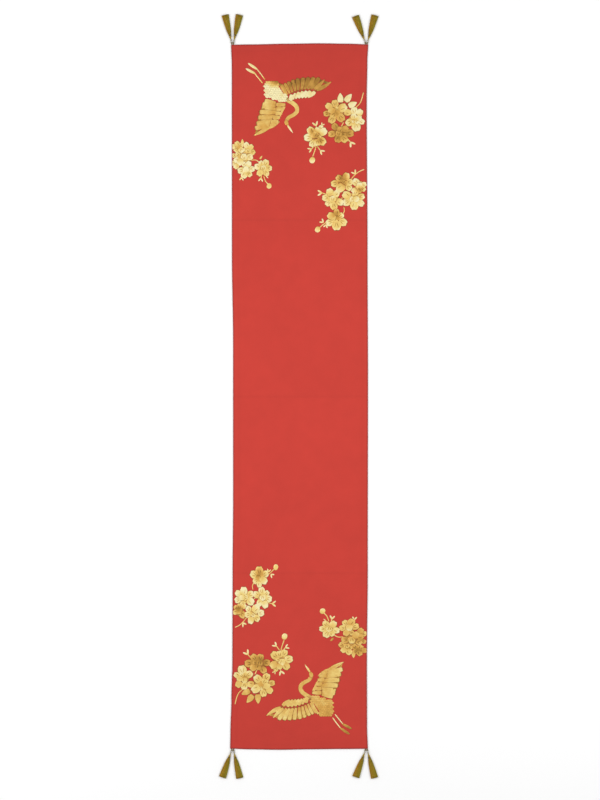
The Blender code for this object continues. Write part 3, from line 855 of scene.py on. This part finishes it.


# Sprays. Blossoms: centre, tones for the far and near end, and petals as x, y, radius.
# Leaves: x, y, length, width, heading, tones. Sprigs: x, y, heading, size. Buds: x, y, radius.
# Twigs: lines of points.
# The far and near tones of one spray differ by painted reflection
SPRAYS = {
    "large": {
        "blossoms": [
            ((98, 745), 0.64, 0.76, [(94, 767, 9.5), (78, 760, 9), (72, 741, 8), (86, 725, 10),
             (109, 730, 11), (114, 756, 11.5), (127, 744, 9), (99, 753, 7.5), (85, 749, 9),
             (90, 737, 9.5)]),
            ((145, 727), 0.88, 0.76, [(144, 748, 10), (158, 744, 9), (163, 720, 8), (149, 707, 12),
             (131, 718, 10), (156, 729, 8), (143, 733, 8), (141, 722, 7), (151, 721, 7)]),
            ((106, 690), 0.5, 0.6, [(94, 707, 9), (120, 701, 9), (85, 688, 9), (132, 690, 10.5),
             (118, 675, 10), (102, 675, 9.5), (107, 699, 8), (104, 689, 9), (117, 689, 8)]),
        ],
        "leaves": [(108, 782, 27, 16, 92, 0.98, 0.7), (129, 782, 28, 16, 50, 0.98, 0.7),
            (140, 765, 26, 16, 25, 0.98, 0.66)],
        "sprigs": [(134, 667, 305, 14)],
        "buds": [],
        "twigs": [[(126, 676), (134, 667)], [(110, 706), (116, 718)],
            [(146, 755), (160, 770), (168, 796)]],
    },
    "single": {
        "blossoms": [
            ((45, 682), 0.94, 0.76, [(63, 694, 10.5), (31, 697, 10), (24, 679, 10.5), (36, 663, 9.5),
             (60, 669, 11), (57, 704, 7), (48, 698, 8), (48, 666, 9), (42, 687, 9.5), (52, 682, 8)]),
        ],
        "leaves": [],
        "sprigs": [(45, 709, 108, 13), (60, 710, 60, 8), (33, 649, 205, 11), (56, 645, 320, 12)],
        "buds": [(35, 620, 8.5)],
        "twigs": [[(48, 701), (45, 709)], [(45, 664), (43, 650), (36, 629)], [(40, 657), (33, 649)],
            [(48, 656), (56, 645)]],
    },
    "middle": {
        "blossoms": [
            ((118, 562), 0.8, 0.92, [(93, 559, 9.5), (108, 548, 11.5), (105, 573, 9), (123, 578, 9.5),
             (117, 565, 8), (132, 563, 9), (130, 549, 9)]),
            ((157, 554), 0.86, 0.8, [(148, 563, 10), (158, 553, 9), (169, 557, 7), (156, 543, 9),
             (143, 541, 7), (167, 545, 7)]),
            ((144, 519), 0.9, 0.92, [(124, 529, 11), (124, 511, 10.5), (144, 502, 11), (161, 508, 9),
             (162, 525, 9), (147, 536, 9), (138, 519, 8), (150, 519, 8)]),
            ((88, 520), 0.84, 0.92, [(81, 537, 10), (70, 522, 9.5), (91, 501, 10), (107, 511, 9.5),
             (76, 508, 8), (97, 533, 9), (88, 520, 10)]),
            ((98, 466), 0.86, 0.82, [(80, 458, 10), (98, 450, 12), (114, 459, 11), (84, 475, 10),
             (98, 485, 8), (108, 475, 9), (93, 467, 9)]),
        ],
        "leaves": [],
        "sprigs": [(60, 535, 180, 13), (147, 584, 125, 12), (64, 458, 140, 11), (71, 453, 255, 10)],
        "buds": [(49, 440, 8)],
        "twigs": [[(117, 498), (118, 488), (112, 475)], [(78, 460), (66, 455), (53, 444)],
            [(136, 571), (147, 583), (158, 591), (170, 596)], [(74, 531), (60, 535)],
            [(108, 520), (114, 522)]],
    },
    "small": {
        "blossoms": [
            ((-155, 655), 0.84, 0.58, [(-159, 662, 7.5), (-149, 658, 7), (-161, 648, 8),
             (-148, 646, 7.5), (-171, 655, 7)]),
            ((-128, 649), 0.9, 0.62, [(-134, 659, 8), (-122, 654, 7.5), (-117, 641, 7.5),
             (-129, 645, 7.5), (-137, 648, 6)]),
            ((-144, 625), 0.92, 0.62, [(-125, 628, 9), (-141, 628, 9), (-158, 634, 7.5), (-161, 620, 8),
             (-151, 615, 9), (-169, 632, 6), (-162, 604, 7.5), (-170, 612, 7)]),
            ((-135, 596), 0.92, 0.64, [(-141, 610, 6.5), (-128, 610, 8), (-149, 593, 9),
             (-140, 582, 9.5), (-126, 584, 8), (-119, 597, 8), (-135, 596, 8.5)]),
            ((-88, 600), 0.86, 0.8, [(-82, 612, 10), (-72, 599, 8), (-104, 603, 8.5), (-97, 587, 9),
             (-80, 587, 8.5), (-94, 612, 7), (-88, 599, 9)]),
        ],
        "leaves": [(-145, 667, 17, 9, 90, 0.85, 0.75), (-94, 627, 12, 5, 50, 0.8, 0.5)],
        "sprigs": [(-147, 576, 265, 10), (-94, 574, 262, 11), (-80, 579, 345, 8)],
        "buds": [(-72, 553, 7.5)],
        "twigs": [[(-121, 620), (-108, 620), (-97, 613)], [(-87, 580), (-82, 566), (-74, 557)],
            [(-92, 582), (-94, 574)], [(-86, 583), (-80, 579)], [(-143, 577), (-147, 576)]],
    },
}
PETAL_LENGTH = 2.3
PETAL_WIDTH = 2.2
VEIN_WIDTH = 1.7
TWIG_WIDTH = 2.3
SPRIG_SPREAD = 32


def blossom(drawn, middle, tone, petals, dice):
    """Round petals turned out from the blossom's middle, each a little over its neighbours."""
    middle = Vector(middle)
    spread = sum((Vector(petal[:2]) - middle).length for petal in petals) / len(petals)
    # Painted shade between the petals: a darker disc of foil under them
    drawn.centred(*middle, spread * 2.1, spread * 2.1, 90, oval, (tone - 0.3, tone - 0.2),
                  over=UNDERLAY)
    for x, y, radius in sorted(petals, key=lambda petal: -(Vector(petal[:2]) - middle).length):
        out = Vector((x, y)) - middle
        far = out.length > radius * 0.7
        degrees = math.degrees(math.atan2(out.y, out.x)) if far else 90
        # Painted reflection: each petal darker at its root and brighter at its tip, over a random tone
        # of its own
        shade = tone + dice.uniform(-0.09, 0.09)
        drawn.centred(x, y, radius * PETAL_LENGTH, radius * PETAL_WIDTH, degrees, rounded_petal,
                      (shade - 0.14, shade + 0.12), notch=1.1 if far else 0.3)
        aside = heading(degrees + 90)
        for sign in (-1, 1):
            root = Vector((x, y)) - heading(degrees) * radius * 0.55 + aside * sign * radius * 0.12
            tip = root + (heading(degrees) * 0.9 + aside * sign * 0.28) * radius
            drawn.blade(root, tip, VEIN_WIDTH, oval, (shade - 0.55, shade - 0.35), rim=0.6,
                        over=LIFTED, template=SCALE)


def spray(end, which, material, dice):
    drawn = Print(end, which)
    parts = SPRAYS[which]
    is_far = end == "far"
    for points in parts["twigs"]:
        drawn.stroke(points, TWIG_WIDTH, (0.70, 0.85))
    for x, y, length, width, degrees, far_tone, near_tone in parts["leaves"]:
        tone = far_tone if is_far else near_tone
        drawn.centred(x, y, length, width, degrees, pointed_leaf, (tone - 0.12, tone + 0.06))
    for middle, far_tone, near_tone, petals in parts["blossoms"]:
        blossom(drawn, middle, far_tone if is_far else near_tone, petals, dice)
    for x, y, degrees, size in parts["sprigs"]:
        for lean in (-SPRIG_SPREAD, SPRIG_SPREAD):
            tip = Vector((x, y)) + heading(degrees + lean) * size
            drawn.blade((x, y), tip, size * 0.38, oval, (0.84, 0.98), rim=0.4)
    for x, y, radius in parts["buds"]:
        drawn.centred(x, y, radius * 2, radius * 1.8, 250, oval, (0.72, 0.96), rim=0.5)
    return drawn.finish(f"foil_spray_{which}_{end}", material)


# ---- tassels ----
# Each tassel is built along +Y from its pivot in the hanging loop, with +Z up, and then turned
# and moved to where the frame has it.

JOINTS = {joint["name"]: joint for joint in frame["joints"]}
CORD = 1.0 * MM
PLY_RADIUS = 0.34 * MM
PLY_OFFSET = 0.28 * MM
LOOP_TWISTS = 11
EYE_WIRE = 0.42 * MM
SHANK_THREAD = 0.24 * MM
HEAD_THREADS = 22
HEAD_THREAD = 0.34 * MM
WRAP_THREAD = 0.37 * MM
WRAP_TURNS = 4
STRANDS = 150
STRAND_LOW, STRAND_HIGH = 0.16 * MM, 0.36 * MM
FLARE_POWER = 0.46
GOLDEN_TURN = math.radians(137.508)
BROADER = 1.3
PAD_HALF = 0.45 * MM
BAR = 0.28 * MM
BAR_LENGTH = 1.7 * MM
CATCHES = 4
CATCH_THREAD = 0.2 * MM
HEAD_LENGTH = 5.3 * MM
HEAD_NECK = 1.55 * MM
SHANK_RADIUS = 0.9 * MM
SKIRT_NECK = 1.7 * MM

STRAND = tube_template("strand", 5, 9, True)
COIL = tube_template("coil", 8, 96, True)
RING = tube_template("ring", 8, 132, False)
BULB = tube_template("bulb", 20, 12, True)
CORE = tube_template("core", 16, 14, True)
PAD = pad_template()


class Tassel:
    """Where one tassel's pieces are, read from the frame."""

    def __init__(self, place):
        self.place = place
        self.tack = Vector(JOINTS[f"loop_swing_{place}"]["pos_m"])
        self.pivot = Vector(JOINTS[f"tassel_flop_{place}"]["pos_m"])
        self.onward = (self.pivot - self.tack).normalized()
        self.aside = self.onward.cross(UP)
        self.turned = Matrix((self.aside, self.onward, UP)).transposed().to_4x4()

    def reach(self, node, direction=None, origin=None):
        """How far the node reaches along direction from origin, as (nearest, furthest)."""
        direction, origin = direction or self.onward, origin or self.pivot
        verts = frame["nodes"][f"{node}_{self.place}"].data.vertices
        far = [(vert.co - origin).dot(direction) for vert in verts]
        return min(far), max(far)

    def piece(self, shape, name, finish, body, node, slot):
        """Turns the finished shape to the tassel's heading, and makes its piece."""
        origin = self.tack if body == "loop" else self.pivot
        place = Matrix.Translation(origin) @ self.turned
        bmesh.ops.transform(shape, matrix=place, verts=shape.verts)
        name, body, node = (f"{word}_{self.place}" for word in (name, body, node))
        return piece(shape, name, finish, body, node)


def wound(turns, reach, start, end, begun=0.0, axis=ALONG, side=-UP):
    """A helix round the axis, as share -> (centre, outward, onward)."""

    def path(share):
        turn = math.tau * turns * share + begun
        out = ACROSS * math.cos(turn) + side * math.sin(turn)
        return out * reach + axis * (start + (end - start) * share), out, axis

    return path


def racetrack(straight, bend):
    """A closed loop in the XY plane, from the tack at y 0: share -> (centre, outward)."""
    far_end = ALONG * straight

    def place(share):
        coming_back, at = divmod(share % 1 * 2, 1)
        at *= straight + math.pi * bend
        turn = max(0, at - straight) / bend
        out = Vector((math.cos(turn), math.sin(turn), 0))
        centre = ALONG * min(at, straight)
        if coming_back:
            out, centre = -out, far_end - centre
        return centre + out * bend, out

    return place


def hanging_loop(tassel, finish):
    """Two plies of cord twisted round each other in a closed loop from tack to tassel."""
    shape = thread_shape()
    near, far = tassel.reach("hanging_loop")
    bend = tassel.reach("hanging_loop", tassel.aside, tassel.tack)[1] - CORD / 2
    track = racetrack(far - near - CORD - 2 * bend, bend)
    for ply in range(2):

        def path(share, ply=ply):
            centre, out = track(share)
            turn = math.tau * LOOP_TWISTS * share + math.pi * ply
            offset = out * math.cos(turn) + UP * math.sin(turn)
            return centre + offset * PLY_OFFSET, out, UP

        sweep(shape, RING, path, PLY_RADIUS, 0.3 + 0.4 * ply, twists=LOOP_TWISTS * 3)
    bmesh.ops.remove_doubles(shape, verts=shape.verts, dist=JOINED)
    return tassel.piece(shape, "twisted_loop", finish, "loop", "hanging_loop", "tie_cord")


def corner_tack(tassel, finish):
    """A thread bar between two knotted pads, caught down into the runner's corner."""
    shape = thread_shape()
    low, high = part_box(f"corner_tack_{tassel.place}")
    radius = (high.x - low.x) / 2
    middle = (low.z + high.z) / 2
    for sign in (-1, 1):
        before = len(shape.verts)
        shape.from_mesh(PAD)
        made = tinted(shape, shape.verts[before:], 0.45)
        at = UP * sign * ((high.z - low.z) / 2 - PAD_HALF)
        for vert in made:
            turn = math.atan2(vert.co.y, vert.co.x)
            ridge = 1 - 0.07 * abs(math.sin(6 * turn)) * (1 - abs(vert.co.z))
            flat = Vector((vert.co.x * radius, vert.co.y * radius, vert.co.z * PAD_HALF))
            vert.co = at + flat * ridge
    winding = wound(5, BAR, -BAR_LENGTH / 2, BAR_LENGTH / 2, axis=UP, side=ALONG)
    sweep(shape, COIL, winding, BAR, 0.6, twists=8)
    inward = -ALONG * math.copysign(1, tassel.tack.y)
    sideways = -ACROSS * math.copysign(1, tassel.tack.x)
    for number in range(CATCHES):
        start = sideways * (number - 1.5) * 0.5 * MM + inward * radius * 0.5
        start.z = -0.5 * MM
        stop = start * 1.25 + inward * 3.4 * MM
        stop.z = (face_low.z + lining_high.z) / 2 - middle

        def catch(share, start=start, stop=stop):
            return start.lerp(stop, share), sideways, inward.cross(sideways)

        sweep(shape, STRAND, catch, CATCH_THREAD, 0.5, twists=3)
    bmesh.ops.translate(shape, vec=(tassel.tack.x, tassel.tack.y, middle), verts=shape.verts)
    place = tassel.place
    node = f"corner_tack_{place}"
    return piece(shape, f"thread_tack_{place}", finish, "cloth", node)


def broadened(verts):
    """Flattens a bound bundle a little into the table's plane."""
    for vert in verts:
        vert.co.x *= BROADER


def head_radius(share):
    """The bound head's radius from the shank, share 0, to the neck, share 1."""
    shoulder = (HEAD_NECK + 0.2 * MM - SHANK_RADIUS) * smooth(share / 0.45)
    return SHANK_RADIUS + shoulder + math.sin(math.pi * share) * 0.45 * MM


def bound_head(tassel, finish):
    """Threads folded over the eye, bound at the shank and swelling to the neck."""
    shape = thread_shape()
    near, end = tassel.reach("tassel_head")
    start = end - HEAD_LENGTH

    def eye(share):
        turn = math.tau * share
        out = Vector((0, math.cos(turn), math.sin(turn)))
        return out * -near * 0.74, out, ACROSS

    ring = sweep(shape, RING, eye, EYE_WIRE, 0.35, twists=12)
    shank = wound(6, 0.85 * MM, 1.5 * MM, start)
    sweep(shape, COIL, shank, SHANK_THREAD * 1.5, 0.25, twists=12)

    def core(share):
        return ALONG * (start + (end - start) * share), UP, ACROSS

    sweep(shape, BULB, core, lambda share: head_radius(share) * 0.86, 0.3)

    def girth(share):
        return HEAD_THREAD * (0.62 + 0.38 * math.sin(math.pi * min(1, share + 0.2)))

    for number in range(HEAD_THREADS):
        turn = math.tau * number / HEAD_THREADS
        out = Vector((math.cos(turn), 0, math.sin(turn)))
        aside = Vector((-math.sin(turn), 0, math.cos(turn)))

        def fold(share, out=out, aside=aside):
            reach = head_radius(share) - HEAD_THREAD * 0.7
            return core(share)[0] + out * reach, out, aside

        sweep(shape, STRAND, fold, girth, (number * 0.61) % 1, twists=5)
    bmesh.ops.remove_doubles(shape, verts=ring, dist=JOINED)
    broadened(shape.verts)
    return tassel.piece(shape, "bound_head", finish, "tassel", "tassel_head", "tassel_thread")


def wound_neck(tassel, finish):
    """The tie wound round the neck in two layers of close turns."""
    shape = thread_shape()
    near, far = tassel.reach("neck_wrap")
    half = tassel.reach("neck_wrap", UP)[1]
    for layer, turns, sunk in ((0, WRAP_TURNS, 1.0), (1, -WRAP_TURNS, 1.15)):
        reach = half - WRAP_THREAD * sunk
        winding = wound(turns, reach, near + WRAP_THREAD, far - WRAP_THREAD, begun=layer)
        sweep(shape, COIL, winding, WRAP_THREAD, 0.35 + 0.3 * layer, twists=26)
    broadened(shape.verts)
    return tassel.piece(shape, "wound_neck", finish, "tassel", "neck_wrap", "tie_cord")


def hanging_threads(tassel, finish, dice):
    """The skirt: a bundle of cut threads, round in the neck and fanned flat at its end."""
    shape = thread_shape()
    near, far = tassel.reach("tassel_skirt")
    half_width = tassel.reach("tassel_skirt", tassel.aside)[1]
    half_depth = tassel.reach("tassel_skirt", UP)[1]
    neck_end = tassel.reach("neck_wrap")[1] + 0.3 * MM
    neck_width = SKIRT_NECK * BROADER

    def spread(along):
        """(half width, half depth) of the bundle this far from the pivot."""
        share = max(0, (along - neck_end) / (far - neck_end))
        width = neck_width + (half_width - STRAND_HIGH - neck_width) * share**FLARE_POWER
        depth = SKIRT_NECK + (half_depth - STRAND_HIGH - SKIRT_NECK) * min(1, share / 0.25)
        return width, depth

    def core(share):
        return ALONG * (near + (far - 3 * MM - near) * share), UP, ACROSS

    for vert in sweep(shape, CORE, core, 1.0, 0.35):
        width, depth = spread(vert.co.y)
        vert.co.x *= width * 0.86
        vert.co.z *= depth * 0.45

    def girth(share):
        return STRAND_LOW + (STRAND_HIGH - STRAND_LOW) * smooth(share * 1.6)

    for number in range(STRANDS):
        out = math.sqrt((number + 0.5) / STRANDS)
        turn = number * GOLDEN_TURN
        across, over = math.cos(turn) * out, math.sin(turn) * out
        length = far - near - dice.uniform(0, 1.6) * MM
        sway = dice.uniform(-1, 1)
        phase = dice.uniform(0, math.tau)
        waves = dice.uniform(1.0, 2.0)

        def path(share, strand=(across, over, length, sway, phase, waves)):
            across, over, length, sway, phase, waves = strand
            along = near + length * share
            width, depth = spread(along)
            loose = smooth((along - neck_end) / (far - neck_end) * 2)
            bend = math.sin(math.tau * waves * share + phase) * 0.5 * MM * loose
            drift = across * (1.03 - 0.04 * loose * (1 + sway)) * width
            flat = Vector((drift + bend * (1 - abs(across)), along, over * depth))
            return flat, UP, ACROSS

        green = 0.42 - 0.30 * across * math.copysign(1, tassel.tack.y)
        tint = min(1, max(0, green + dice.uniform(-0.22, 0.22)))
        sweep(shape, STRAND, path, girth, tint, twists=26)
    return tassel.piece(
        shape, "hanging_threads", finish, "tassel", "tassel_skirt", "tassel_thread"
    )


# ---- assembly ----

RED = (0.56, 0.044, 0.030)
# Each thread's three tints: low, middle and high
SEAM_REDS = ((0.20, 0.02, 0.018), (0.24, 0.026, 0.022), (0.3, 0.03, 0.026))
TASSEL_GREENS = ((0.33, 0.31, 0.012), (0.47, 0.29, 0.011), (0.64, 0.27, 0.012))
TIE_BROWNS = ((0.11, 0.08, 0.01), (0.18, 0.12, 0.012), (0.28, 0.16, 0.015))


def build_runner():
    face_weave = plain_weave("red cloth", RED, 0.55 * MM, 0.78)
    lining_weave = plain_weave("lining cloth", scaled(RED, 0.88), 0.42 * MM, 0.7)
    seam_thread = twisted_thread("seam thread", SEAM_REDS, 0.6)
    middle = CLOTH / 2
    lining = cloth_sheet("lining_cloth", "lining_panel", lining_low.z + middle,
                         lining_high.z - middle, 0, lining_weave)
    face = cloth_sheet("face_cloth", "face_panel", face_high.z - middle,
                       face_low.z + middle, 1, face_weave)
    stitch = tube_template("stitch", 6, 3, True)
    edges = ("far", "near", "left", "right")
    stitches = [seam_stitches(where, stitch, seam_thread) for where in edges]
    foil = gold_foil()
    dice = random.Random(7)
    prints = []
    for end in ENDS:
        prints.append(crane(end, foil))
        prints += [spray(end, which, foil, dice) for which in SPRAYS]


def build_tassels():
    thread = twisted_thread("tassel thread", TASSEL_GREENS, 0.42)
    tie = twisted_thread("tie cord", TIE_BROWNS, 0.5)
    dice = random.Random(11)
    for place in PLACES:
        tassel = Tassel(place)
        corner_tack(tassel, tie)
        hanging_loop(tassel, tie)
        bound_head(tassel, thread)
        wound_neck(tassel, tie)
        hanging_threads(tassel, thread, dice)


# ---- camera, floor and light ----

VIEW_HEIGHT = 2.078
LENS = 100.0
SENSOR = 36.0
AIM = Vector((0.0013, -0.009, 0.0))
FLOOR_SIZE = 6
FLOOR_LEVEL = -0.2 * MM


def camera():
    data = bpy.data.cameras.new("camera")
    data.lens = LENS
    data.sensor_width = SENSOR
    data.clip_end = 50
    made = placed("camera", data)
    made.location = AIM + UP * (VIEW_HEIGHT * LENS / SENSOR)
    bpy.context.scene.camera = made


def floor():
    shape = bmesh.new()
    bmesh.ops.create_grid(shape, x_segments=1, y_segments=1, size=FLOOR_SIZE)
    bmesh.ops.translate(shape, vec=(0, 0, FLOOR_LEVEL), verts=shape.verts)
    finish = Finish("floor", 0.9)
    finish.set("Base Color", opaque((0.97, 0.97, 0.97)))
    mesh = mesh_of(shape, "floor")
    mesh.materials.append(finish.material)
    placed("floor", mesh)


def softbox(name, side, power):
    data = bpy.data.lights.new(name, "AREA")
    data.shape = "RECTANGLE"
    data.size, data.size_y = 1.0, 1.2
    data.energy = power
    made = placed(name, data)
    made.location = (side * 1.7, 0.1, 1.9)
    made.rotation_euler = (-made.location).to_track_quat("-Z", "Y").to_euler()
    made.visible_camera = False


def light():
    world = bpy.data.worlds.new("studio")
    world.use_nodes = True
    background = world.node_tree.nodes["Background"]
    background.inputs["Color"].default_value = (1, 1, 1, 1)
    background.inputs["Strength"].default_value = 0.62
    bpy.context.scene.world = world
    softbox("left softbox", -1, 27)
    softbox("right softbox", 1, 22)
    bpy.context.scene.view_settings.view_transform = "Standard"
    bpy.context.scene.view_settings.look = "None"


build_runner()
build_tassels()
camera()
floor()
light()
